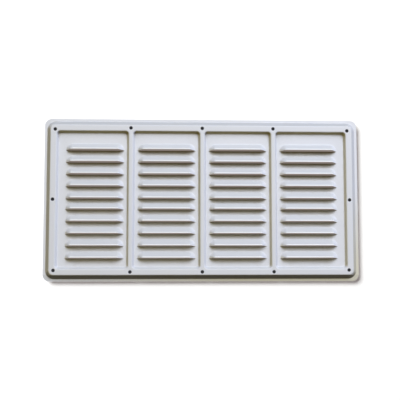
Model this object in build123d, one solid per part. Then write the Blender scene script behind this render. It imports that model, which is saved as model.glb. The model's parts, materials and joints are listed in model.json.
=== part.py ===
from build123d import *
import os
from math import atan2, degrees, tan

# Vent grille pressed from one sheet: a flat flange, a raised border, sunk fields parted by
# ribs, rows of louvres that open downwards, and screw holes through the border.
# It is modelled lying down with its front up: X across, Y up the grille, Z out of the front,
# Z = 0 at the back of the flange. At the end it is stood upright, facing -Y.

# Sheet
SHEET = 1.0
BEND_RADIUS = 1.5
PLATE_CORNER = 11.0

# Raised border inside the flange
FLANGE = 4.0
BORDER_RISE = 7.5
BORDER_RUN = 6.5
BORDER_WIDTH = 9.0
BORDER_CORNER = 7.0

# Sunk fields and the ribs between them
FIELDS = 4
RIB_WIDTH = 6.0
FIELD_SINK = 5.0
FIELD_RUN = 3.0
END_FIELD_EXTRA = 7.0
HEAD_MARGIN = 20.5
FOOT_MARGIN = 16.2

# One louvre: a hood that slopes out from the field to a flat lip above the slit
LOUVRE_LENGTH = 90.6
LOUVRE_RISE = 9.0
LOUVRE_RUN = 7.5
LIP_WIDTH = 1.5
LIP_SETBACK = 1.5
HOOD_CORNER = 6.0

# Spacing of the louvres, which are struck in two banks of rows
BANK_ROWS = 5
ROW_CLEAR = 8.6
BANK_CLEAR = 6.5
RIB_CLEAR = 4.95

# Screw holes through the border
HOLE_DIAMETER = 5.5
CORNER_HOLE_INSET = 2.5

# Places worked out from the sizes above
HOOD_REACH = LOUVRE_RUN + LIP_WIDTH + LIP_SETBACK
ROW_PITCH = HOOD_REACH + ROW_CLEAR
BANK_STEP = HOOD_REACH + BANK_CLEAR
RIB_PITCH = LOUVRE_LENGTH + 2 * RIB_CLEAR + RIB_WIDTH + 2 * FIELD_RUN
FIELD_LEVEL = SHEET + BORDER_RISE - FIELD_SINK
FIELD_CORNER = FIELD_RUN + BEND_RADIUS + SHEET
FIELD_HEIGHT = HEAD_MARGIN + HOOD_REACH + 2 * (BANK_ROWS - 1) * ROW_PITCH + BANK_STEP + FOOT_MARGIN
FIELD_REACH = FIELDS * RIB_PITCH / 2 - RIB_WIDTH / 2 + END_FIELD_EXTRA
PLATE_WIDTH = 2 * (FIELD_REACH + BORDER_WIDTH + BORDER_RUN + FLANGE)
PLATE_HEIGHT = FIELD_HEIGHT + 2 * (BORDER_WIDTH + BORDER_RUN + FLANGE)
HOLE_REACH = FIELD_REACH + BORDER_WIDTH / 2
HOLE_HEIGHT = FIELD_HEIGHT / 2 + BORDER_WIDTH / 2
FIRST_SLIT = FIELD_HEIGHT / 2 - HEAD_MARGIN - HOOD_REACH


def fold_shift(run, rise, skin):
    """How far a fold moves sideways from the front of the sheet to a face that lies skin behind it."""
    return skin * tan(atan2(rise, run) / 2)


def raised_block(outline, rise, run):
    """Block that stands on an outline at Z = 0, with walls that lean in by run over rise."""
    return extrude(outline, rise, taper=degrees(atan2(run, rise)))


def field_sides(grow):
    """Left and right side of each field at the border's face, moved outwards by grow."""
    for index in range(FIELDS):
        left = (index - FIELDS / 2) * RIB_PITCH + RIB_WIDTH / 2
        right = left + RIB_PITCH - RIB_WIDTH
        if index == 0:
            left -= END_FIELD_EXTRA
        if index == FIELDS - 1:
            right += END_FIELD_EXTRA
        yield left - grow, right + grow


def border_block(skin):
    """Raised border with its sunk fields, below the front of the sheet or a face skin behind it."""
    wall_shift = fold_shift(BORDER_RUN, BORDER_RISE, skin)
    outline = RectangleRounded(
        PLATE_WIDTH - 2 * (FLANGE + wall_shift),
        PLATE_HEIGHT - 2 * (FLANGE + wall_shift),
        BORDER_CORNER + BORDER_RUN - wall_shift,
    )
    block = raised_block(outline, BORDER_RISE, BORDER_RUN)
    grow = fold_shift(FIELD_RUN, FIELD_SINK, skin)
    for left, right in field_sides(grow):
        mouth = RectangleRounded(right - left, FIELD_HEIGHT + 2 * grow, FIELD_CORNER + grow)
        sink = Rot(X=180) * raised_block(mouth, FIELD_SINK, FIELD_RUN)
        block -= Pos((left + right) / 2, 0, BORDER_RISE) * sink
    return Pos(0, 0, SHEET - skin) * block


def pressed_sheet():
    """Flange, border, ribs and fields, with the folds rounded on the front."""
    flange = extrude(RectangleRounded(PLATE_WIDTH, PLATE_HEIGHT, PLATE_CORNER), SHEET)
    front = flange + border_block(0)
    border_level = SHEET + BORDER_RISE
    front = fillet(
        front.edges().filter_by_position(Axis.Z, border_level, border_level),
        BEND_RADIUS + SHEET,
    )
    flange_faces = front.faces().filter_by_position(Axis.Z, SHEET, SHEET)
    ring = flange_faces.filter_by(lambda face: bool(face.inner_wires()))[0]
    front = fillet(ring.inner_wires()[0].edges(), BEND_RADIUS)
    return front - border_block(SHEET)


def hood_block(skin):
    """Louvre hood above its slit, below the front of the sheet or a face skin behind it."""
    whole = chamfer(Rectangle(LOUVRE_LENGTH, 2 * HOOD_REACH).vertices(), HOOD_CORNER)
    shift = fold_shift(LOUVRE_RUN, LOUVRE_RISE, skin)
    outline = offset(whole, -shift, kind=Kind.INTERSECTION) if skin else whole
    block = Pos(0, 0, -skin) * raised_block(outline, LOUVRE_RISE, LOUVRE_RUN)
    opening = Plane(origin=(0, 0, 0), x_dir=(1, 0, 0), z_dir=(0, LOUVRE_RISE, -LIP_SETBACK))
    return split(block, bisect_by=opening, keep=Keep.TOP)


def louvre_places():
    """Middle of each louvre's slit, on the face of its field."""
    for column in range(FIELDS):
        across = (column - (FIELDS - 1) / 2) * RIB_PITCH
        for row in range(2 * BANK_ROWS):
            drop = row * ROW_PITCH
            if row >= BANK_ROWS:
                drop += BANK_STEP - ROW_PITCH
            yield Pos(across, FIRST_SLIT - drop, FIELD_LEVEL)


def hole_places():
    """Middle of each screw hole: the corners, the ends of the ribs and the middle of each side."""
    corner_x = HOLE_REACH - CORNER_HOLE_INSET
    corner_y = HOLE_HEIGHT - CORNER_HOLE_INSET
    for side in (-1, 1):
        yield Pos(side * HOLE_REACH, 0, 0)
        for end in (-1, 1):
            yield Pos(side * corner_x, end * corner_y, 0)
    for rib in range(1, FIELDS):
        for end in (-1, 1):
            yield Pos((rib - FIELDS / 2) * RIB_PITCH, end * HOLE_HEIGHT, 0)


def vent_grille():
    """The whole pressed sheet, front up."""
    hood = hood_block(0)
    hollow = hood_block(SHEET)
    drill = extrude(Circle(HOLE_DIAMETER / 2), 2 * (SHEET + BORDER_RISE))
    grille = pressed_sheet()
    grille += [place * hood for place in louvre_places()]
    grille -= [place * hollow for place in louvre_places()]
    grille -= [place * drill for place in hole_places()]
    return grille


os.makedirs("parts", exist_ok=True)
export_step(Rot(X=90) * vent_grille(), "parts/vent_grille.step")
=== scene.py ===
"""Looks of a vent grille: one pressed, louvred and enamelled sheet, modelled round its CAD frame.

X runs across the grille, Z up it, and its front faces -Y. Lengths are in metres. A level is a
distance out of the front, so that a point at level 3 mm lies at Y = -3 mm.
"""

import json
import logging
import math
from dataclasses import dataclass, field
from enum import Enum
from typing import Any, Iterator

import bmesh
import bpy
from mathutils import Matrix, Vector


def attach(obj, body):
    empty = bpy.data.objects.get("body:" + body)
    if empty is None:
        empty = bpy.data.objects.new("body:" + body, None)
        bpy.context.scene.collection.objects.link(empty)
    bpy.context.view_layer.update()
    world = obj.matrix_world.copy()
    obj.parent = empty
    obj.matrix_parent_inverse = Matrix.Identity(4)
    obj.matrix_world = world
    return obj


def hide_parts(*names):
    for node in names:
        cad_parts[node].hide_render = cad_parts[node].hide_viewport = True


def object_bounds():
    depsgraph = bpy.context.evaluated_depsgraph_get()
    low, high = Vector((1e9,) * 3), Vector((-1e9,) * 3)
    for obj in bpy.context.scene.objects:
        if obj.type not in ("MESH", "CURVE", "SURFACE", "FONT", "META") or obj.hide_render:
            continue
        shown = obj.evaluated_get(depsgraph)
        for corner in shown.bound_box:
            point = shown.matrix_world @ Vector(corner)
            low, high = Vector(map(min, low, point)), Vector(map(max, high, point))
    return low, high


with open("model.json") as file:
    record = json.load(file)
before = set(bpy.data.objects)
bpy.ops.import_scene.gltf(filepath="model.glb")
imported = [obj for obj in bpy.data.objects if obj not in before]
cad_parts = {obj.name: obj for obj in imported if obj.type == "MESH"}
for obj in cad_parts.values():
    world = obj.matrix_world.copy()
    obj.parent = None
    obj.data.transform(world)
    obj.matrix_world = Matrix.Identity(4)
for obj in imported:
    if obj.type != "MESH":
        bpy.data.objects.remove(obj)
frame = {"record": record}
CAD_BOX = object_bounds()

LOG = logging.getLogger("vent_grille")
CAD_NODE = "vent_grille"
CAD_BODY = "root"

MM = 0.001
TOUCH = 0.01 * MM
CUT_TOUCH = 0.1 * TOUCH
FACING_FRONT = (math.pi / 2, 0.0, 0.0)

Colour = tuple[float, float, float]
Section = list[tuple[float, float]]
Nodes = bpy.types.NodeTree
Socket = bpy.types.NodeSocket


class Coat(Enum):
    """Material slots of the sheet, in the order that its wall thickness deals them out."""

    FRONT = 0
    BACK = 1
    CUT_EDGE = 2


class Seen(Enum):
    """How a surface of the stage shows itself."""

    LIT = "lit"
    GLOWING = "glowing"


@dataclass(frozen=True)
class Fold:
    """Sloping wall between two flats of the sheet, with a rounded fold at each end.

    Attributes:
        run: Distance between the two fold lines along the flats.
        rise: Distance between the two flats, negative where the wall sinks.
        first_radius: Radius of the sheet's front at the fold where the wall starts.
        last_radius: Radius of the sheet's front at the fold where the wall ends.
        steps: Facets of each rounded fold.
    """

    run: float
    rise: float
    first_radius: float
    last_radius: float
    steps: int = 5

    @property
    def slope(self) -> float:
        """Angle between the wall and the flats."""
        return math.atan2(abs(self.rise), self.run)

    @property
    def first_reach(self) -> float:
        """How far the first fold reaches along its flat, away from the wall."""
        return self.first_radius * math.tan(self.slope / 2)

    @property
    def last_reach(self) -> float:
        """How far the last fold reaches along its flat, away from the wall."""
        return self.last_radius * math.tan(self.slope / 2)

    def section(self) -> Section:
        """Traces the wall from flat to flat.

        Returns:
            Points as (distance past the first fold line, height above the first flat).
        """
        side = math.copysign(1.0, self.rise)
        points = []
        for step in range(self.steps + 1):
            turn = self.slope * step / self.steps
            along = self.first_radius * math.sin(turn) - self.first_reach
            points.append((along, side * self.first_radius * (1 - math.cos(turn))))
        for step in range(self.steps + 1):
            turn = self.slope * (1 - step / self.steps)
            along = self.run + self.last_reach - self.last_radius * math.sin(turn)
            points.append((along, self.rise - side * self.last_radius * (1 - math.cos(turn))))
        return points


@dataclass(frozen=True)
class Panel:
    """Upright rectangle with rounded corners.

    Attributes:
        width: Size along X.
        height: Size along Z.
        corner: Radius of its corners.
        x: Middle along X.
        z: Middle along Z.
    """

    width: float
    height: float
    corner: float = 0.0
    x: float = 0.0
    z: float = 0.0

    def grown(self, by: float) -> "Panel":
        """The panel with every side moved outwards."""
        return Panel(self.width + 2 * by, self.height + 2 * by, self.corner + by, self.x, self.z)

    def moved(self, x: float, z: float) -> "Panel":
        """The panel moved across and up."""
        return Panel(self.width, self.height, self.corner, self.x + x, self.z + z)

    def corners(self) -> tuple[Vector, Vector]:
        """Its lowest and highest corner."""
        middle = Vector((self.x, 0.0, self.z))
        half = Vector((self.width / 2, 0.0, self.height / 2))
        return middle - half, middle + half

    def holds(self, x: float, z: float) -> bool:
        """Whether a point lies inside the panel's sides."""
        return abs(x - self.x) < self.width / 2 and abs(z - self.z) < self.height / 2


class Bench:
    """Edit-mode work on one new mesh, whose object sits unturned at the origin."""

    def __init__(self, name: str) -> None:
        """Opens an empty mesh for editing.

        Args:
            name: Name of the new object and its mesh.
        """
        bpy.ops.object.select_all(action="DESELECT")
        self.piece = bpy.data.objects.new(name, bpy.data.meshes.new(name))
        bpy.context.scene.collection.objects.link(self.piece)
        self.reopen()

    def reopen(self) -> None:
        """Makes the piece active and goes into edit mode."""
        bpy.ops.object.select_all(action="DESELECT")
        self.piece.select_set(True)
        bpy.context.view_layer.objects.active = self.piece
        bpy.ops.object.mode_set(mode="EDIT")

    def close(self) -> bpy.types.Object:
        """Leaves edit mode and gives the piece."""
        bpy.ops.object.mode_set(mode="OBJECT")
        return self.piece

    def pick_flat(self, panel: Panel, level: float) -> None:
        """Selects only the faces of one flat that have their middle inside a panel.

        Args:
            panel: Outline to look in.
            level: Level of the flat.
        """
        bpy.ops.mesh.select_mode(type="FACE")
        bpy.ops.mesh.select_all(action="DESELECT")
        shape = bmesh.from_edit_mesh(self.piece.data)
        for face in shape.faces:
            if any(abs(vert.co.y + level) > TOUCH for vert in face.verts):
                continue
            middle = face.calc_center_bounds()
            if panel.holds(middle.x, middle.z):
                face.select_set(True)
        bmesh.update_edit_mesh(self.piece.data)

    def score_flat(self, panel: Panel, level: float, tile: Panel) -> None:
        """Cuts a flat along the four lines of a tile, right across the flat.

        Args:
            panel: Outline of the flat.
            level: Level of the flat.
            tile: Panel whose sides give the lines.
        """
        for across in ((1, 0, 0), (0, 0, 1)):
            for place in tile.corners():
                self.pick_flat(panel, level)
                bpy.ops.mesh.bisect(plane_co=place, plane_no=across, threshold=CUT_TOUCH)

    def lay_panel(self, panel: Panel, level: float, corner_steps: int = 1) -> None:
        """Adds a flat face with rounded corners and leaves only it selected.

        Args:
            panel: Outline of the face.
            level: Level of the face.
            corner_steps: Facets of each rounded corner.
        """
        bpy.ops.mesh.select_mode(type="VERT")
        bpy.ops.mesh.select_all(action="DESELECT")
        middle = (panel.x, -level, panel.z)
        bpy.ops.mesh.primitive_plane_add(size=1.0, location=middle, rotation=FACING_FRONT)
        bpy.ops.transform.resize(value=(panel.width, 1.0, panel.height), center_override=middle)
        if panel.corner > 0:
            bpy.ops.mesh.bevel(offset=panel.corner, segments=corner_steps, affect="VERTICES")
        bpy.ops.mesh.select_mode(type="FACE")

    def press(self, section: Section) -> None:
        """Sinks or raises the selected face along a section, which leaves its middle selected.

        Args:
            section: Points as (distance inwards, height), from the face's edge on.
        """
        for (start, low), (end, high) in zip(section, section[1:]):
            bpy.ops.mesh.inset(thickness=end - start, depth=high - low, use_even_offset=True)

    def open_face(self) -> None:
        """Takes the selected faces away and leaves their edges."""
        bpy.ops.mesh.delete(type="ONLY_FACE")

    def pick_open_edges(self, level: float) -> None:
        """Selects only the edges at one level that have a face on one side at most.

        Args:
            level: Level to look at.
        """
        bpy.ops.mesh.select_mode(type="EDGE")
        bpy.ops.mesh.select_all(action="DESELECT")
        shape = bmesh.from_edit_mesh(self.piece.data)
        for edge in shape.edges:
            flat = all(abs(vert.co.y + level) < TOUCH for vert in edge.verts)
            if flat and len(edge.link_faces) < 2:
                edge.select_set(True)
        bmesh.update_edit_mesh(self.piece.data)

    def fill_flat(self, level: float) -> None:
        """Closes the flat between all open edges at one level."""
        self.pick_open_edges(level)
        bpy.ops.mesh.fill(use_beauty=True)


@dataclass(frozen=True)
class Louvre:
    """Hood struck out of a field above a straight slit, open downwards.

    Attributes:
        length: Length of the slit between the fold lines of the hood's ends.
        rise: Height of the lip above the field.
        run: How far the hood slopes out to its lip.
        lip: Width of the flat lip.
        setback: How far the lip's edge lies above the slit.
        corner: Radius of the hood's upper corners in front view.
        foot_radius: Radius of the fold between the field and the hood.
        lip_radius: Radius of the fold between the hood and its lip.
        corner_steps: Facets of each corner.
        tile_margin: Flat of the field that is modelled with the hood, beside and above it.
        tile_foot: Flat of the field that is modelled with the hood, below its slit.
    """

    length: float = 90.6 * MM
    rise: float = 9.0 * MM
    run: float = 7.5 * MM
    lip: float = 1.5 * MM
    setback: float = 1.5 * MM
    corner: float = 10.0 * MM
    foot_radius: float = 3.0 * MM
    lip_radius: float = 2.2 * MM
    corner_steps: int = 8
    tile_margin: float = 1.0 * MM
    tile_foot: float = 3.0 * MM

    @property
    def reach(self) -> float:
        """Height of the hood above its slit, in front view."""
        return self.run + self.lip + self.setback

    @property
    def fold(self) -> Fold:
        """The hood's slope between the field and the lip."""
        return Fold(self.run, self.rise, self.foot_radius, self.lip_radius)

    @property
    def tile(self) -> Panel:
        """The piece of the field that is modelled with the hood, with the slit at Z = 0."""
        spare = self.fold.first_reach + self.tile_margin
        top = self.reach + spare
        height = top + self.tile_foot
        return Panel(self.length + 2 * spare, height, z=top - height / 2)

    def strike(self, level: float) -> bpy.types.Object:
        """Models the hood in its tile, with the middle of its slit on the Y axis.

        Args:
            level: Level of the field that the hood rises from.

        Returns:
            The hood and the flat round it.
        """
        bench = Bench("louvre_hood")
        both_halves = Panel(self.length, 2 * self.reach, self.corner)
        bench.lay_panel(both_halves.grown(self.fold.first_reach), level, self.corner_steps)
        bench.press(self.fold.section())
        bpy.ops.mesh.select_all(action="SELECT")
        bpy.ops.mesh.bisect(
            plane_co=(0.0, -level, 0.0),
            plane_no=Vector((0.0, self.setback, self.rise)).normalized(),
            threshold=CUT_TOUCH,
            clear_inner=True,
        )
        self._draw_slit(bench, level)
        bench.lay_panel(self.tile, level)
        bench.open_face()
        bench.fill_flat(level)
        return bench.close()

    def _draw_slit(self, bench: Bench, level: float) -> None:
        """Joins the hood's two lower tips with an edge.

        Args:
            bench: Bench that holds the hood.
            level: Level of the field.
        """
        bpy.ops.mesh.select_mode(type="VERT")
        bpy.ops.mesh.select_all(action="DESELECT")
        shape = bmesh.from_edit_mesh(bench.piece.data)
        for vert in shape.verts:
            if abs(vert.co.y + level) < TOUCH and abs(vert.co.z) < TOUCH:
                vert.select_set(True)
        bmesh.update_edit_mesh(bench.piece.data)
        bpy.ops.mesh.edge_face_add()


@dataclass(frozen=True)
class LouvrePattern:
    """Places of the louvres: one column in each field, struck in two banks of rows.

    Attributes:
        bank_rows: Rows in each bank.
        row_pitch: Distance between rows of one bank.
        bank_step: Distance between the two banks' nearest rows.
        head_margin: Distance from the top of the fields to the first hood.
    """

    bank_rows: int = 5
    row_pitch: float = 19.1 * MM
    bank_step: float = 17.0 * MM
    head_margin: float = 20.5 * MM

    def heights(self, field_top: float, hood_reach: float) -> Iterator[float]:
        """Walks down the rows.

        Args:
            field_top: Z of the fields' upper fold line.
            hood_reach: Height of a hood above its slit.

        Yields:
            Z of each row's slit.
        """
        slit = field_top - self.head_margin - hood_reach
        for row in range(2 * self.bank_rows):
            yield slit
            slit -= self.bank_step if row == self.bank_rows - 1 else self.row_pitch


@dataclass(frozen=True)
class ScrewHole:
    """Drilled hole whose edge is slightly rolled in by the drill and the paint.

    Attributes:
        roll: Width of the rolled edge round the hole.
        drop: How far the hole's edge lies below the flat.
        shoulder: Share of the drop that lies in the outer half of the roll.
        facets: Sides of the hole.
    """

    roll: float = 0.3 * MM
    drop: float = 0.15 * MM
    shoulder: float = 0.25
    facets: int = 28

    def drill(self, bench: Bench, x: float, z: float, level: float, radius: float) -> None:
        """Adds the rolled edge of one hole to the sheet that lies on a bench.

        Args:
            bench: Bench that holds the sheet.
            x: Middle of the hole along X.
            z: Middle of the hole along Z.
            level: Level of the flat that is drilled.
            radius: Radius of the hole.
        """
        bpy.ops.mesh.select_all(action="DESELECT")
        bpy.ops.mesh.primitive_circle_add(
            vertices=self.facets,
            radius=radius + self.roll,
            fill_type="NGON",
            location=(x, -level, z),
            rotation=FACING_FRONT,
        )
        bpy.ops.mesh.select_mode(type="FACE")
        middle = (self.roll / 2, -self.shoulder * self.drop)
        bench.press([(0.0, 0.0), middle, (self.roll, -self.drop)])
        bench.open_face()

    @staticmethod
    def places(record: dict[str, Any]) -> Iterator[tuple[float, float, float]]:
        """Reads the holes from the record's bolt patterns.

        Args:
            record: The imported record.

        Yields:
            X, Z and radius of each hole.
        """
        for mount in record["mounts"]:
            if mount["kind"] != "bolt_pattern":
                continue
            sizes = mount["dims"]
            half_x = sizes.get("spacing_x_mm", 0.0) / 2 * MM
            half_z = sizes.get("spacing_y_mm", 0.0) / 2 * MM
            for x in sorted({-half_x, half_x}):
                for z in sorted({-half_z, half_z}):
                    yield x, z, sizes["hole_r_mm"] * MM


@dataclass(frozen=True)
class EnamelFinish:
    """Sprayed enamel: pale paint with cloudy tone, a wavy skin, painted shade and a painted
    highlight.

    Attributes:
        name: Name of the material.
        cool: Colour of the paint where it is thick.
        warm: Colour of the paint where it has yellowed.
        painted_shade: Colour of the shade painted into folds and below the hoods, as from the key
            lamp.
        painted_shade_share: How much of that painted shade shows in the deepest folds.
        upward_shade: Colour of the shade painted on faces that look up.
        upward_shade_share: How much of that painted shade shows on a face that looks up.
        away_shade: Colour of the shade painted on walls that face down or to the left, and on the
            flange and outer walls towards the foot and the right.
        away_shade_share: How much of that painted shade shows on such a wall.
        rim_shade: Colour of the shade painted on the border's outer walls.
        rim_shade_share: How much of that painted shade shows on the foot wall.
        lip_highlight: Colour of the highlight painted along the louvres' lips.
        lip_highlight_share: How much of that painted highlight shows.
        gloss: How strongly the paint mirrors, where 0.5 is a plain lacquer.
        roughness: Middle roughness of the paint.
        relief: Height of the skin's waves.
        swing: How far the roughness goes to either side of its middle.
    """

    name: str
    cool: Colour
    warm: Colour
    painted_shade: Colour
    painted_shade_share: float
    upward_shade: Colour
    upward_shade_share: float
    away_shade: Colour
    away_shade_share: float
    rim_shade: Colour
    rim_shade_share: float
    lip_highlight: Colour
    lip_highlight_share: float
    gloss: float
    roughness: float
    relief: float
    swing: float = 0.06

    def material(self) -> bpy.types.Material:
        """Mixes the paint.

        Returns:
            The new material.
        """
        paint = bpy.data.materials.new(self.name)
        paint.use_nodes = True
        tree = paint.node_tree
        shader = tree.nodes["Principled BSDF"]
        shader.inputs["Specular IOR Level"].default_value = self.gloss
        skin = tree.nodes.new("ShaderNodeGroup")
        skin.node_tree = EnamelSkin.tree()
        coat = self._layer(tree, skin.outputs["Cloud"], 1.0, self.warm)
        coat.inputs["A"].default_value = (*self.cool, 1.0)
        # Over the paint's own tone go painted shade in folds, on faces that look up, on walls
        # facing down or left and on the outer walls, then a painted highlight on the lips.
        for mask, share, colour in (
            ("Fold", self.painted_shade_share, self.painted_shade),
            ("Ledge", self.upward_shade_share, self.upward_shade),
            ("Lee", self.away_shade_share, self.away_shade),
            ("Rim", self.rim_shade_share, self.rim_shade),
            ("Crest", self.lip_highlight_share, self.lip_highlight),
        ):
            upper = self._layer(tree, skin.outputs[mask], share, colour)
            tree.links.new(coat.outputs["Result"], upper.inputs["A"])
            coat = upper
        tree.links.new(coat.outputs["Result"], shader.inputs["Base Color"])
        sheen = tree.nodes.new("ShaderNodeMapRange")
        sheen.inputs["To Min"].default_value = self.roughness - self.swing
        sheen.inputs["To Max"].default_value = self.roughness + self.swing
        tree.links.new(skin.outputs["Cloud"], sheen.inputs["Value"])
        tree.links.new(sheen.outputs["Result"], shader.inputs["Roughness"])
        bump = tree.nodes.new("ShaderNodeBump")
        bump.inputs["Distance"].default_value = self.relief
        tree.links.new(skin.outputs["Relief"], bump.inputs["Height"])
        tree.links.new(bump.outputs["Normal"], shader.inputs["Normal"])
        return paint

    @staticmethod
    def _layer(tree: Nodes, mask: Socket, share: float, colour: Colour) -> bpy.types.Node:
        """Adds a layer of colour over the paint.

        Args:
            tree: Node tree to add to.
            mask: Where the layer lies.
            share: How much of it shows where the mask is full.
            colour: Its colour.

        Returns:
            The mix node, whose input A takes the paint below.
        """
        part = tree.nodes.new("ShaderNodeMath")
        part.operation = "MULTIPLY"
        part.inputs[1].default_value = share
        tree.links.new(mask, part.inputs[0])
        layer = tree.nodes.new("ShaderNodeMix")
        layer.data_type = "RGBA"
        layer.inputs["B"].default_value = (*colour, 1.0)
        tree.links.new(part.outputs["Value"], layer.inputs["Factor"])
        return layer


class EnamelSkin:
    """Node group with the masks of painted shade and highlight and the wavy relief that all
    enamel coats share.

    A span gives the value where a mask begins and the value where it is full.

    Attributes:
        NAME: Name of the group.
        CLOUD_SCALE: Clouds per metre in the paint's tone, with CLOUD_DETAIL octaves.
        PEEL_SCALE: Fine pits per metre in its skin, with PEEL_DETAIL octaves.
        PEEL_SHARE: Height of the pits, as a share of the waves' height.
        WAVE_SCALE: Slow waves per metre in its skin, with WAVE_DETAIL octaves.
        OPEN_SIDE: Direction that shelter is felt from, near the key lamp's, so the painted shade
            acts as its shadow.
        FOLD_REACH: How far away a wall still shelters, felt with FOLD_SAMPLES rays.
        FOLD_SPAN: Openness towards that side, for the painted shade.
        HEIGHT_SPAN: Height over which that painted shade grows from a share of LOW_FOLDS to all,
            darker towards the top.
        LEDGE_SPAN: Lean upwards, for the painted shade on faces that look up.
        LEE_SPAN: Lean to the right and upwards, whose low end takes the painted shade on walls
            that face down or to the left.
        SKIRT_SPAN: Height, for the painted shade on the flange and the outer walls.
        RIGHT_SPAN: Place across, for the same painted shade.
        SLOPE_SPAN: Lean to the front or the back, for the outer walls.
        SIDE_SPAN: Distance across from the middle, for what lies outside the border's face.
        END_SPAN: Distance up or down from the middle, for the same.
        UNDER_SPAN: Lean upwards, for the painted shade on the foot wall.
        CREST_SPAN: Place along Y, for the painted highlight on the louvres' lips.
        SLOPE_SHARE: Share of the painted shade on every outer wall.
        FOOT_SHARE: Share of the painted shade on the flange along the foot.
    """

    NAME = "enamel_skin"
    CLOUD_SCALE = 14.0
    CLOUD_DETAIL = 4.0
    PEEL_SCALE = 420.0
    PEEL_DETAIL = 2.0
    PEEL_SHARE = 0.06
    WAVE_SCALE = 24.0
    WAVE_DETAIL = 1.0
    OPEN_SIDE = (0.14, -0.72, 0.68)
    FOLD_REACH = 20.0 * MM
    FOLD_SAMPLES = 8
    FOLD_SPAN = (0.63, 0.40)
    HEIGHT_SPAN = (-70.0 * MM, 76.0 * MM)
    LOW_FOLDS = 0.68
    LEDGE_SPAN = (0.35, 0.85)
    LEE_SPAN = (-0.25, -0.8)
    SKIRT_SPAN = (20.0 * MM, -100.0 * MM)
    RIGHT_SPAN = (-240.0 * MM, 60.0 * MM)
    SLOPE_SPAN = (0.9, 0.7)
    SIDE_SPAN = (238.0 * MM, 239.0 * MM)
    END_SPAN = (117.5 * MM, 118.5 * MM)
    UNDER_SPAN = (0.0, -0.6)
    CREST_SPAN = (-11.6 * MM, -12.2 * MM)
    SLOPE_SHARE = 0.2
    FOOT_SHARE = 0.14

    @classmethod
    def tree(cls) -> Nodes:
        """Builds the group at its first use.

        Returns:
            The group, with the outputs Cloud, Relief, Fold, Ledge, Lee, Rim and Crest.
        """
        made = bpy.data.node_groups.get(cls.NAME)
        if made:
            return made
        made = bpy.data.node_groups.new(cls.NAME, "ShaderNodeTree")
        place = made.nodes.new("ShaderNodeTexCoord")
        spot = made.nodes.new("ShaderNodeSeparateXYZ")
        made.links.new(place.outputs["Object"], spot.inputs["Vector"])
        facing = made.nodes.new("ShaderNodeSeparateXYZ")
        made.links.new(place.outputs["Normal"], facing.inputs["Vector"])
        outside = cls._outside(made, spot.outputs)
        skirt = cls._skirt(made, spot.outputs, outside)
        lean = cls._math(made, "ADD", facing.outputs["X"], facing.outputs["Z"])
        peel = cls._noise(made, place, cls.PEEL_SCALE, cls.PEEL_DETAIL)
        wave = cls._noise(made, place, cls.WAVE_SCALE, cls.WAVE_DETAIL)
        found = {
            "Cloud": cls._noise(made, place, cls.CLOUD_SCALE, cls.CLOUD_DETAIL),
            "Relief": cls._math(made, "MULTIPLY_ADD", peel, cls.PEEL_SHARE, wave),
            "Fold": cls._painted_shade_mask(made, spot.outputs),
            "Ledge": cls._mask(made, facing.outputs["Z"], cls.LEDGE_SPAN),
            "Lee": cls._math(made, "MAXIMUM", cls._mask(made, lean, cls.LEE_SPAN), skirt),
            "Rim": cls._rim(made, spot.outputs, facing.outputs, outside),
            "Crest": cls._mask(made, spot.outputs["Y"], cls.CREST_SPAN),
        }
        ends = made.nodes.new("NodeGroupOutput")
        for name, value in found.items():
            made.interface.new_socket(name, in_out="OUTPUT", socket_type="NodeSocketFloat")
            made.links.new(value, ends.inputs[name])
        return made

    @classmethod
    def _painted_shade_mask(cls, tree: Nodes, spot: Any) -> Socket:
        """Mask of painted shade: what lies sheltered from above and from the right, weaker
        towards the foot.

        Args:
            tree: Node tree to add to.
            spot: Outputs X, Y and Z of the place on the sheet.

        Returns:
            The mask.
        """
        # Occlusion felt towards the key lamp's side stands in for that lamp's soft shadow.
        shelter = tree.nodes.new("ShaderNodeAmbientOcclusion")
        shelter.only_local = True
        shelter.samples = cls.FOLD_SAMPLES
        shelter.inputs["Distance"].default_value = cls.FOLD_REACH
        open_side = tree.nodes.new("ShaderNodeCombineXYZ")
        for axis, part in zip("XYZ", cls.OPEN_SIDE):
            open_side.inputs[axis].default_value = part
        tree.links.new(open_side.outputs["Vector"], shelter.inputs["Normal"])
        deep = cls._mask(tree, shelter.outputs["AO"], cls.FOLD_SPAN)
        height = cls._mask(tree, spot["Z"], cls.HEIGHT_SPAN)
        share = cls._math(tree, "MULTIPLY_ADD", height, 1 - cls.LOW_FOLDS, cls.LOW_FOLDS)
        return cls._math(tree, "MULTIPLY", deep, share)

    @classmethod
    def _outside(cls, tree: Nodes, spot: Any) -> Socket:
        """Mask of what lies outside the border's face: its outer walls and the flange.

        Args:
            tree: Node tree to add to.
            spot: Outputs X, Y and Z of the place on the sheet.

        Returns:
            The mask.
        """
        sides = cls._mask(tree, cls._math(tree, "ABSOLUTE", spot["X"]), cls.SIDE_SPAN)
        ends = cls._mask(tree, cls._math(tree, "ABSOLUTE", spot["Z"]), cls.END_SPAN)
        return cls._math(tree, "MAXIMUM", sides, ends)

    @classmethod
    def _skirt(cls, tree: Nodes, spot: Any, outside: Socket) -> Socket:
        """Mask of the flange and the outer walls, stronger towards the foot and the right, for
        painted shade.

        Args:
            tree: Node tree to add to.
            spot: Outputs X, Y and Z of the place on the sheet.
            outside: Mask of what lies outside the border's face.

        Returns:
            The mask.
        """
        low = cls._mask(tree, spot["Z"], cls.SKIRT_SPAN)
        right = cls._mask(tree, spot["X"], cls.RIGHT_SPAN)
        corner = cls._math(tree, "MULTIPLY", low, right)
        return cls._math(tree, "MULTIPLY", outside, corner)

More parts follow.
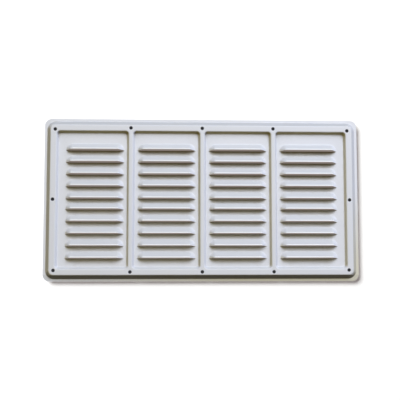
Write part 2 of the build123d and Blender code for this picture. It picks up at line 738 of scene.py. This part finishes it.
    @classmethod
    def _rim(cls, tree: Nodes, spot: Any, facing: Any, outside: Socket) -> Socket:
        """Mask of the border's outer walls for painted shade, strong on the foot wall, which
        faces down.

        Args:
            tree: Node tree to add to.
            spot: Outputs X, Y and Z of the place on the sheet.
            facing: Outputs X, Y and Z of the surface's normal.
            outside: Mask of what lies outside the border's face.

        Returns:
            The mask.
        """
        lean = cls._mask(tree, cls._math(tree, "ABSOLUTE", facing["Y"]), cls.SLOPE_SPAN)
        slope = cls._math(tree, "MULTIPLY", lean, cls.SLOPE_SHARE)
        under = cls._mask(tree, facing["Z"], cls.UNDER_SPAN)
        low = cls._mask(tree, spot["Z"], tuple(-end for end in cls.END_SPAN))
        foot = cls._math(tree, "MULTIPLY", low, cls.FOOT_SHARE)
        walls = cls._math(tree, "MAXIMUM", cls._math(tree, "MAXIMUM", slope, foot), under)
        return cls._math(tree, "MULTIPLY", outside, walls)

    @staticmethod
    def _noise(tree: Nodes, place: bpy.types.Node, scale: float, detail: float) -> Socket:
        """Adds a noise texture that lies still on the sheet.

        Args:
            tree: Node tree to add to.
            place: Texture Coordinate node.
            scale: Scale of the noise, in waves per metre.
            detail: Octaves of the noise.

        Returns:
            The noise.
        """
        noise = tree.nodes.new("ShaderNodeTexNoise")
        noise.inputs["Scale"].default_value = scale
        noise.inputs["Detail"].default_value = detail
        tree.links.new(place.outputs["Object"], noise.inputs["Vector"])
        return noise.outputs["Fac"]

    @staticmethod
    def _mask(tree: Nodes, value: Socket, span: tuple[float, ...]) -> Socket:
        """Adds a mask that rises from none to full over a span of a value.

        Args:
            tree: Node tree to add to.
            value: The value.
            span: Value where the mask begins and value where it is full.

        Returns:
            The mask.
        """
        mask = tree.nodes.new("ShaderNodeMapRange")
        mask.inputs["From Min"].default_value = span[0]
        mask.inputs["From Max"].default_value = span[1]
        tree.links.new(value, mask.inputs["Value"])
        return mask.outputs["Result"]

    @staticmethod
    def _math(tree: Nodes, operation: str, *terms: Socket | float) -> Socket:
        """Adds a sum.

        Args:
            tree: Node tree to add to.
            operation: What is done with the terms.
            terms: Values or fixed numbers, in the order of the node's inputs.

        Returns:
            The result.
        """
        node = tree.nodes.new("ShaderNodeMath")
        node.operation = operation
        for socket, term in zip(node.inputs, terms):
            if isinstance(term, float):
                socket.default_value = term
            else:
                tree.links.new(term, socket)
        return node.outputs["Value"]


# In each finish below, the layers other than cool and warm are painted shade and, on the lips, a
# painted highlight.
FRONT_ENAMEL = EnamelFinish(
    name="front_enamel",
    cool=(0.69, 0.72, 0.825),
    warm=(0.72, 0.735, 0.815),
    painted_shade=(0.115, 0.09, 0.046),
    painted_shade_share=0.97,
    upward_shade=(0.44, 0.465, 0.49),
    upward_shade_share=0.48,
    away_shade=(0.52, 0.45, 0.15),
    away_shade_share=0.4,
    rim_shade=(0.02, 0.016, 0.008),
    rim_shade_share=0.79,
    lip_highlight=(0.84, 0.86, 0.92),
    lip_highlight_share=0.9,
    gloss=0.2,
    roughness=0.42,
    relief=0.25 * MM,
)
BACK_ENAMEL = EnamelFinish(
    name="back_enamel",
    cool=(0.62, 0.64, 0.67),
    warm=(0.66, 0.66, 0.65),
    painted_shade=(0.36, 0.33, 0.25),
    painted_shade_share=0.2,
    upward_shade=(0.52, 0.51, 0.48),
    upward_shade_share=0.3,
    away_shade=(0.55, 0.51, 0.40),
    away_shade_share=0.3,
    rim_shade=(0.30, 0.28, 0.22),
    rim_shade_share=0.5,
    lip_highlight=(0.68, 0.69, 0.70),
    lip_highlight_share=0.3,
    gloss=0.2,
    roughness=0.58,
    relief=0.25 * MM,
)
EDGE_ENAMEL = EnamelFinish(
    name="edge_enamel",
    cool=(0.72, 0.71, 0.66),
    warm=(0.66, 0.62, 0.52),
    painted_shade=(0.34, 0.29, 0.20),
    painted_shade_share=0.55,
    upward_shade=(0.56, 0.54, 0.49),
    upward_shade_share=0.3,
    away_shade=(0.50, 0.45, 0.33),
    away_shade_share=0.4,
    rim_shade=(0.30, 0.27, 0.20),
    rim_shade_share=0.5,
    lip_highlight=(0.76, 0.75, 0.72),
    lip_highlight_share=0.5,
    gloss=0.2,
    roughness=0.5,
    relief=0.1 * MM,
)


@dataclass
class VentGrille:
    """The pressed sheet: flange, raised border, ribs, sunk fields, louvres and screw holes.

    Attributes:
        sheet: Thickness of the metal.
        plate_corner: Radius of the flange's corners.
        flange: Width of the flange.
        border_rise: Height of the border above the flange.
        border_run: How far the border's outer wall slopes in.
        border_corner: Corner radius of the border's outer edge.
        fields: How many fields lie side by side.
        rib: Width of the ribs between them.
        field_height: Height of the fields between their fold lines.
        field_reach: Distance from the middle to the outer fields' outer fold lines.
        field_sink: Depth of the fields below the border.
        field_run: How far the fields' walls slope in.
        field_corner: Corner radius of the fields' fold lines.
        rib_pitch: Distance between ribs, and between columns of louvres.
        bend: Inner radius of the folds.
        corner_steps: Facets of each corner in front view.
        round_angle: Largest angle between facets that are shaded as one round, in degrees.
        louvre: Shape of one louvre.
        pattern: Places of the louvres.
        hole: Shape of the screw holes.
    """

    sheet: float = 1.0 * MM
    plate_corner: float = 11.0 * MM
    flange: float = 4.0 * MM
    border_rise: float = 7.5 * MM
    border_run: float = 6.5 * MM
    border_corner: float = 7.0 * MM
    fields: int = 4
    rib: float = 6.0 * MM
    field_height: float = 217.0 * MM
    field_reach: float = 229.0 * MM
    field_sink: float = 5.0 * MM
    field_run: float = 3.0 * MM
    field_corner: float = 5.5 * MM
    rib_pitch: float = 112.5 * MM
    bend: float = 1.5 * MM
    corner_steps: int = 10
    round_angle: float = 38.0
    louvre: Louvre = field(default_factory=Louvre)
    pattern: LouvrePattern = field(default_factory=LouvrePattern)
    hole: ScrewHole = field(default_factory=ScrewHole)

    @property
    def border_level(self) -> float:
        """Level of the border's face."""
        return self.sheet + self.border_rise

    @property
    def field_level(self) -> float:
        """Level of the fields."""
        return self.border_level - self.field_sink

    def build(self) -> bpy.types.Object:
        """Models and dresses the sheet.

        Returns:
            The finished piece.
        """
        bench = Bench("grille_sheet")
        self._press_border(bench)
        for panel in self._field_panels():
            self._sink_field(bench, panel)
        for x, z, radius in ScrewHole.places(frame["record"]):
            self.hole.drill(bench, x, z, self.border_level, radius)
        bench.fill_flat(self.border_level)
        sheet = bench.close()
        self._strike_louvres(sheet)
        self._face_front(bench)
        self._thicken(sheet)
        self._dress(sheet)
        return sheet

    def _press_border(self, bench: Bench) -> None:
        """Makes the flange and raises the border's outer wall from it.

        Args:
            bench: Bench that holds the sheet.
        """
        low, high = CAD_BOX
        plate = Panel(high.x - low.x, high.z - low.z, self.plate_corner)
        wall = Fold(self.border_run, self.border_rise, self.bend, self.bend + self.sheet)
        foot = Panel(
            plate.width - 2 * self.flange,
            plate.height - 2 * self.flange,
            self.border_corner + self.border_run,
        ).grown(wall.first_reach)
        bench.lay_panel(plate, self.sheet, self.corner_steps)
        bench.open_face()
        bench.lay_panel(foot, self.sheet, self.corner_steps)
        bench.press(wall.section())
        bench.open_face()
        bench.fill_flat(self.sheet)

    def _field_panels(self) -> Iterator[Panel]:
        """Walks along the fields.

        Yields:
            Fold line of each field at the border's face.
        """
        for index in range(self.fields):
            left = (index - self.fields / 2) * self.rib_pitch + self.rib / 2
            right = left + self.rib_pitch - self.rib
            if index == 0:
                left = -self.field_reach
            if index == self.fields - 1:
                right = self.field_reach
            yield Panel(
                right - left, self.field_height, self.field_corner, x=(left + right) / 2
            )

    def _sink_field(self, bench: Bench, panel: Panel) -> None:
        """Presses one field down from the border and opens its floor where louvres go.

        Args:
            bench: Bench that holds the sheet.
            panel: Fold line of the field at the border's face.
        """
        wall = Fold(self.field_run, -self.field_sink, self.bend + self.sheet, self.bend)
        bench.lay_panel(panel.grown(wall.first_reach), self.border_level, self.corner_steps)
        bench.press(wall.section())
        tiles = [
            self.louvre.tile.moved(x, z) for x, z in self._louvre_places() if panel.holds(x, z)
        ]
        for tile in tiles:
            bench.score_flat(panel, self.field_level, tile)
        for tile in tiles:
            bench.pick_flat(tile, self.field_level)
            bench.open_face()

    def _louvre_places(self) -> Iterator[tuple[float, float]]:
        """Walks down each column of louvres.

        Yields:
            X and Z of the middle of each slit.
        """
        for column in range(self.fields):
            x = (column - (self.fields - 1) / 2) * self.rib_pitch
            for z in self.pattern.heights(self.field_height / 2, self.louvre.reach):
                yield x, z

    def _strike_louvres(self, sheet: bpy.types.Object) -> None:
        """Copies one hood to every louvre's place and joins the copies to the sheet.

        Args:
            sheet: The sheet with its fields open.
        """
        hood = self.louvre.strike(self.field_level)
        copies = []
        for x, z in self._louvre_places():
            bpy.ops.object.select_all(action="DESELECT")
            hood.select_set(True)
            bpy.context.view_layer.objects.active = hood
            bpy.ops.object.duplicate(linked=False)
            copy = bpy.context.view_layer.objects.active
            copy.location = (x, 0.0, z)
            copies.append(copy)
        bpy.data.objects.remove(hood)
        bpy.ops.object.select_all(action="DESELECT")
        for copy in copies:
            copy.select_set(True)
        sheet.select_set(True)
        bpy.context.view_layer.objects.active = sheet
        bpy.ops.object.join()
        LOG.info("struck %d louvres", len(copies))

    def _face_front(self, bench: Bench) -> None:
        """Welds the louvres into the fields and turns all faces to the front.

        Args:
            bench: Bench that holds the sheet.
        """
        bench.reopen()
        bpy.ops.mesh.select_all(action="SELECT")
        bpy.ops.mesh.remove_doubles(threshold=TOUCH)
        bpy.ops.mesh.normals_make_consistent(inside=False)
        shape = bmesh.from_edit_mesh(bench.piece.data)
        if sum(face.normal.y * face.calc_area() for face in shape.faces) > 0:
            bpy.ops.mesh.flip_normals()
        bench.close()

    def _thicken(self, sheet: bpy.types.Object) -> None:
        """Gives the sheet its wall behind the modelled front.

        Args:
            sheet: The sheet as a surface.
        """
        for coat in (FRONT_ENAMEL, BACK_ENAMEL, EDGE_ENAMEL):
            sheet.data.materials.append(coat.material())
        bpy.ops.object.modifier_add(type="SOLIDIFY")
        wall = sheet.modifiers[-1]
        wall.thickness = self.sheet
        wall.offset = -1.0
        wall.use_even_offset = True
        wall.use_quality_normals = True
        wall.material_offset = Coat.BACK.value
        wall.material_offset_rim = Coat.CUT_EDGE.value
        bpy.ops.object.modifier_apply(modifier=wall.name)

    def _dress(self, sheet: bpy.types.Object) -> None:
        """Smooths the folds, keeps the cut edges crisp and ties the piece to the frame.

        Args:
            sheet: The thick sheet.
        """
        bpy.ops.object.shade_smooth_by_angle(angle=math.radians(self.round_angle))
        bpy.ops.object.modifier_add(type="WEIGHTED_NORMAL")
        smoothing = sheet.modifiers[-1]
        smoothing.keep_sharp = True
        bpy.ops.object.modifier_apply(modifier=smoothing.name)
        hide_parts(CAD_NODE)
        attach(sheet, CAD_BODY)


def background_rays(tree: Nodes) -> Socket:
    """Picks the rays that see the background: the camera's, and those mirrored or let through.

    Args:
        tree: Node tree of a stage material or of the world.

    Returns:
        One for such a ray and none for any other.
    """
    path = tree.nodes.new("ShaderNodeLightPath")
    rays = path.outputs["Is Camera Ray"]
    for kind in ("Is Glossy Ray", "Is Transmission Ray"):
        either = tree.nodes.new("ShaderNodeMath")
        either.operation = "MAXIMUM"
        tree.links.new(rays, either.inputs[0])
        tree.links.new(path.outputs[kind], either.inputs[1])
        rays = either.outputs["Value"]
    return rays


@dataclass(frozen=True)
class StageFinish:
    """Surface of the stage that shows from its front, and that throws no light on the part.

    Attributes:
        name: Name of the material.
        colour: Colour under the lamps.
        glow: Light that it gives off itself.
        seen: Whether lamps light it.
    """

    name: str
    colour: Colour
    glow: Colour
    seen: Seen = Seen.LIT

    def material(self) -> bpy.types.Material:
        """Mixes the surface.

        Returns:
            The new material.
        """
        made = bpy.data.materials.new(self.name)
        made.use_nodes = True
        tree = made.node_tree
        tree.nodes.clear()
        out = tree.nodes.new("ShaderNodeOutputMaterial")
        side = tree.nodes.new("ShaderNodeNewGeometry")
        matt = tree.nodes.new("ShaderNodeBsdfDiffuse")
        matt.inputs["Color"].default_value = (*self.colour, 1.0)
        glow = tree.nodes.new("ShaderNodeEmission")
        glow.inputs["Color"].default_value = (*self.glow, 1.0)
        face = tree.nodes.new("ShaderNodeAddShader")
        if self.seen is Seen.LIT:
            tree.links.new(matt.outputs["BSDF"], face.inputs[0])
        tree.links.new(glow.outputs["Emission"], face.inputs[1])
        clear = tree.nodes.new("ShaderNodeBsdfTransparent")
        front = tree.nodes.new("ShaderNodeMath")
        front.operation = "SUBTRACT"
        front.inputs[0].default_value = 1.0
        tree.links.new(side.outputs["Backfacing"], front.inputs[1])
        shown = tree.nodes.new("ShaderNodeMath")
        shown.operation = "MULTIPLY"
        tree.links.new(background_rays(tree), shown.inputs[0])
        tree.links.new(front.outputs["Value"], shown.inputs[1])
        either = tree.nodes.new("ShaderNodeMixShader")
        tree.links.new(shown.outputs["Value"], either.inputs["Fac"])
        tree.links.new(clear.outputs["BSDF"], either.inputs[1])
        tree.links.new(face.outputs["Shader"], either.inputs[2])
        tree.links.new(either.outputs["Shader"], out.inputs["Surface"])
        return made


STAGE_WHITE = (0.84, 0.86, 0.855)
STAGE_LIFT = (0.14, 0.115, 0.125)
BLACK = (0.0, 0.0, 0.0)
WHITE_WALL = StageFinish("white_wall", STAGE_WHITE, STAGE_LIFT)
PALE_FLOOR = StageFinish("pale_floor", STAGE_WHITE, STAGE_LIFT)
DIM_SPACE = StageFinish("dim_space", BLACK, glow=(0.25, 0.21, 0.19), seen=Seen.GLOWING)
# A near-black card that stands in for the shade in the gap behind the screw holes.
GAP_SHADE_CARD = StageFinish("gap_shade_card", BLACK, glow=(0.035, 0.035, 0.04), seen=Seen.GLOWING)


@dataclass(frozen=True)
class Stage:
    """White wall behind the grille, pale floor far below it, the dim space behind its slits and a
    dark card of painted shade round that space.

    Attributes:
        gap: Distance from the flange's back to the wall.
        drop: Distance from the grille's middle down to the floor.
        spread: Size of the wall and the floor.
        space_margin: Distance from the plate's edge to the dark card's edge.
        gap_width: Width of the dark card, painted shade, round the dim space.
    """

    gap: float = 9.0 * MM
    drop: float = 600.0 * MM
    spread: float = 6.0
    space_margin: float = 7.0 * MM
    gap_width: float = 14.0 * MM

    def build(self) -> list[bpy.types.Object]:
        """Sets up the stage.

        Returns:
            The wall, the floor and the space behind the grille.
        """
        made = [self._wall(), self._floor(), self._space()]
        return made

    def _wall(self) -> bpy.types.Object:
        """The wall, standing on the floor."""
        bench = Bench("stage_wall")
        height = self.spread / 2 - self.drop
        bench.lay_panel(Panel(self.spread, self.spread, z=height), -self.gap)
        wall = bench.close()
        wall.data.materials.append(WHITE_WALL.material())
        return wall

    def _floor(self) -> bpy.types.Object:
        """The floor, in front of the wall."""
        bpy.ops.object.select_all(action="DESELECT")
        front = self.gap - self.spread / 2
        bpy.ops.mesh.primitive_plane_add(size=self.spread, location=(0.0, front, -self.drop))
        floor = bpy.context.view_layer.objects.active
        floor.name = "stage_floor"
        floor.data.materials.append(PALE_FLOOR.material())
        return floor

    def _space(self) -> bpy.types.Object:
        """The dim space behind the slits, with a dark card round it that stands in for the shade
        behind the screw holes.
        """
        bench = Bench("stage_space")
        low, high = CAD_BOX
        plate = Panel(high.x - low.x, high.z - low.z)
        bench.lay_panel(plate.grown(-self.space_margin), -self.gap / 2)
        bench.press([(0.0, 0.0), (self.gap_width, 0.0)])
        space = bench.close()
        space.data.materials.append(GAP_SHADE_CARD.material())
        space.data.materials.append(DIM_SPACE.material())
        for face in space.data.polygons:
            middle = face.center
            face.material_index = int(abs(middle.x) < TOUCH and abs(middle.z) < TOUCH)
        return space


@dataclass(frozen=True)
class SoftLamp:
    """Round soft lamp that looks at the grille's middle and lights only what it is told to.

    Attributes:
        name: Name of the lamp.
        side: Direction from the grille to the lamp.
        distance: Distance from the grille to the lamp.
        level: Light that falls on a surface at the grille's middle, square to the lamp.
        colour: Colour of its light.
        spread: Angle that the lamp covers as seen from the grille, in degrees.
    """

    name: str
    side: tuple[float, float, float]
    distance: float
    level: float
    colour: Colour
    spread: float

    def hang(self, lit: list[bpy.types.Object]) -> None:
        """Hangs the lamp.

        Args:
            lit: The only objects that it lights.
        """
        look = Vector(self.side).normalized()
        turn = look.to_track_quat("Z", "Y").to_euler()
        bpy.ops.object.light_add(type="AREA", location=look * self.distance, rotation=turn)
        lamp = bpy.context.view_layer.objects.active
        lamp.name = self.name
        lamp.data.shape = "DISK"
        lamp.data.size = 2 * self.distance * math.tan(math.radians(self.spread / 2))
        lamp.data.energy = self.level * math.pi * self.distance**2
        lamp.data.color = self.colour
        group = bpy.data.collections.new(self.name + "_lights")
        for piece in lit:
            group.objects.link(piece)
        lamp.light_linking.receiver_collection = group


KEY_LAMP = SoftLamp(
    name="key_lamp",
    side=(0.42, -1.0, 0.76),
    distance=3.2,
    level=3.5,
    colour=(0.832, 0.885, 1.0),
    spread=34.0,
)
FILL_LAMP = SoftLamp(
    name="fill_lamp",
    side=(-0.25, -1.0, 0.2),
    distance=4.0,
    level=0.82,
    colour=(1.0, 0.80, 0.21),
    spread=50.0,
)
BACK_LAMP = SoftLamp(
    name="back_lamp",
    side=(-0.4, 0.9, 0.5),
    distance=4.0,
    level=3.2,
    colour=(1.0, 0.98, 0.95),
    spread=40.0,
)
WALL_LAMP = SoftLamp(
    name="wall_lamp",
    side=(-0.7, -1.0, 0.6),
    distance=12.0,
    level=5.3,
    colour=(1.0, 1.0, 1.0),
    spread=36.0,
)


@dataclass(frozen=True)
class Room:
    """Even light from all round, with a white background.

    Attributes:
        colour: Colour of the light.
        strength: Strength of the light.
    """

    colour: Colour = (1.0, 0.86, 0.5)
    strength: float = 0.04

    def build(self) -> None:
        """Makes the scene's world."""
        world = bpy.data.worlds.new("studio")
        world.use_nodes = True
        tree = world.node_tree
        tree.nodes.clear()
        out = tree.nodes.new("ShaderNodeOutputWorld")
        even = tree.nodes.new("ShaderNodeBackground")
        even.inputs["Color"].default_value = (*self.colour, 1.0)
        even.inputs["Strength"].default_value = self.strength
        white = tree.nodes.new("ShaderNodeBackground")
        white.inputs["Color"].default_value = (1.0, 1.0, 1.0, 1.0)
        either = tree.nodes.new("ShaderNodeMixShader")
        tree.links.new(background_rays(tree), either.inputs["Fac"])
        tree.links.new(even.outputs["Background"], either.inputs[1])
        tree.links.new(white.outputs["Background"], either.inputs[2])
        tree.links.new(either.outputs["Shader"], out.inputs["Surface"])
        bpy.context.scene.world = world


@dataclass(frozen=True)
class FrontCamera:
    """Camera a little below the grille's middle, as the photograph was taken.

    Attributes:
        place: Where it stands.
        aim: Point that it looks at.
        lens: Focal length in mm, for the sensor's width.
        sensor: Width of the sensor in mm.
    """

    place: tuple[float, float, float] = (-0.0407, -1.0, -0.0715)
    aim: tuple[float, float, float] = (-0.0033, 0.0, -0.0001)
    lens: float = 57.0
    sensor: float = 36.0

    def build(self) -> None:
        """Sets up the scene's camera."""
        look = Vector(self.aim) - Vector(self.place)
        turn = look.to_track_quat("-Z", "Y").to_euler()
        bpy.ops.object.camera_add(location=self.place, rotation=turn)
        camera = bpy.context.view_layer.objects.active
        camera.data.lens = self.lens
        camera.data.sensor_width = self.sensor
        bpy.context.scene.camera = camera


def main() -> None:
    """Builds the camera, the grille, the stage and the light, in that order."""
    logging.basicConfig(level=logging.INFO, format="%(name)s: %(message)s")
    bpy.context.scene.view_settings.view_transform = "Standard"
    FrontCamera().build()
    grille = VentGrille().build()
    LOG.info("%s: %d faces", grille.name, len(grille.data.polygons))
    stage = Stage().build()
    LOG.info("stage: %s", ", ".join(part.name for part in stage))
    for lamp in (KEY_LAMP, FILL_LAMP, BACK_LAMP):
        lamp.hang([grille])
    WALL_LAMP.hang(stage)
    Room().build()


if __name__ == "__main__":
    main()
